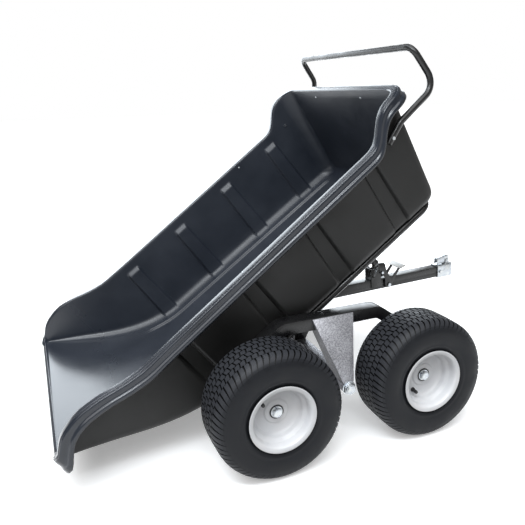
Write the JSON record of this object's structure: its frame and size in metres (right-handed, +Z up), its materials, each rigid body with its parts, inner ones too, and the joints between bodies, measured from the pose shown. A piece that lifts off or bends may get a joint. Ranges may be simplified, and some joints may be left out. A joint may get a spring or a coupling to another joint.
{
  "type": "garden tractor trailer",
  "caption": "Garden tractor trailer with a tipping plastic tub and push handle, tandem wheels on walking bogies, and a drawbar with foot latch and ball coupler.",
  "frame": {"origin": "on the ground under the middle of the overall box, tub tipped up on its stop as in the picture", "axes": "+X forward to the hitch, +Y to the trailer's left, +Z up"},
  "size_m": [1.9344, 1.5724, 1.4041],
  "materials": {
    "black_paint": "gloss black paint",
    "hammered_silver": "hammered silver paint",
    "zinc": "bright zinc plate",
    "rim_white": "white paint",
    "tyre_rubber": "moulded turf tread",
    "tub_plastic": "satin, vacuum formed",
    "valve_rubber": "plain",
    "pedal_grey": "worn grey"
  },
  "bodies": {
    "bogie_left": {"bogie_beam_left": "black_paint", "bogie_bracket_left": "hammered_silver", "bogie_pivot_tube_left": "hammered_silver", "spindle_front_left": "zinc", "spindle_rear_left": "zinc", "wheel_nut_front_left": "zinc", "wheel_nut_rear_left": "zinc"},
    "bogie_right": {"bogie_beam_right": "black_paint", "bogie_bracket_right": "hammered_silver", "bogie_pivot_tube_right": "hammered_silver", "spindle_front_right": "zinc", "spindle_rear_right": "zinc", "wheel_nut_front_right": "zinc", "wheel_nut_rear_right": "zinc"},
    "chassis": {"axle_upright_left": "black_paint", "axle_upright_right": "black_paint", "coupler_body": "zinc", "coupler_bolt": "zinc", "coupler_lever_pin": "zinc", "drawbar": "black_paint", "frame_crossmember": "black_paint", "latch_bracket": "black_paint", "latch_pivot_bolt": "zinc", "latch_spring": "zinc", "main_axle": "hammered_silver", "pivot_nut_left": "zinc", "pivot_nut_right": "zinc", "pivot_shaft_left": "zinc", "pivot_shaft_right": "zinc", "tilt_bolt_left": "zinc", "tilt_bolt_right": "zinc"},
    "coupler_lever": {"coupler_lever": "zinc"},
    "foot_latch": {"hook_spacer_bolt": "zinc", "latch_hook_left": "black_paint", "latch_hook_right": "black_paint", "pedal_plate": "pedal_grey"},
    "tub": {"floor_bolt_left": "zinc", "floor_bolt_right": "zinc", "frame_cross_tube": "black_paint", "handle_bolt_left": "zinc", "handle_bolt_right": "zinc", "hinge_ear_left": "black_paint", "hinge_ear_right": "black_paint", "latch_striker": "black_paint", "push_handle": "black_paint", "tub": "tub_plastic", "tub_frame": "black_paint"},
    "wheel_front_left": {"rim_front_left": "rim_white", "tyre_front_left": "tyre_rubber", "valve_front_left": "valve_rubber"},
    "wheel_front_right": {"rim_front_right": "rim_white", "tyre_front_right": "tyre_rubber", "valve_front_right": "valve_rubber"},
    "wheel_rear_left": {"rim_rear_left": "rim_white", "tyre_rear_left": "tyre_rubber", "valve_rear_left": "valve_rubber"},
    "wheel_rear_right": {"rim_rear_right": "rim_white", "tyre_rear_right": "tyre_rubber", "valve_rear_right": "valve_rubber"}
  },
  "joints": [
    {"name": "tub_tilt", "type": "hinge", "parent": "chassis", "child": "tub", "pos_m": [0.03769, 0, 0.455], "axis": [0, 1, 0], "range_deg": [0, 35.3]},
    {"name": "foot_latch", "type": "hinge", "parent": "chassis", "child": "foot_latch", "pos_m": [0.58071, 0, 0.34371], "axis": [0, 1, 0], "range_deg": [0, 12], "stiffness_Nm_per_rad": 3, "springref_deg": -17.19, "deforming": ["latch_spring"]},
    {"name": "coupler_lever", "type": "hinge", "parent": "chassis", "child": "coupler_lever", "pos_m": [0.9309, 0, 0.41012], "axis": [0, 1, 0], "range_deg": [0, 80]},
    {"name": "bogie_pivot_right", "type": "hinge", "parent": "chassis", "child": "bogie_right", "pos_m": [0.01769, -0.68, 0.2286], "axis": [0, 1, 0], "range_deg": [-15, 15]},
    {"name": "wheel_front_right", "type": "hinge", "parent": "bogie_right", "child": "wheel_front_right", "pos_m": [0.31019, -0.68, 0.2286], "axis": [0, 1, 0], "continuous": true},
    {"name": "wheel_rear_right", "type": "hinge", "parent": "bogie_right", "child": "wheel_rear_right", "pos_m": [-0.27481, -0.68, 0.2286], "axis": [0, 1, 0], "continuous": true},
    {"name": "bogie_pivot_left", "type": "hinge", "parent": "chassis", "child": "bogie_left", "pos_m": [0.01769, 0.68, 0.2286], "axis": [0, 1, 0], "range_deg": [-15, 15]},
    {"name": "wheel_front_left", "type": "hinge", "parent": "bogie_left", "child": "wheel_front_left", "pos_m": [0.31019, 0.68, 0.2286], "axis": [0, 1, 0], "continuous": true},
    {"name": "wheel_rear_left", "type": "hinge", "parent": "bogie_left", "child": "wheel_rear_left", "pos_m": [-0.27481, 0.68, 0.2286], "axis": [0, 1, 0], "continuous": true}
  ]
}
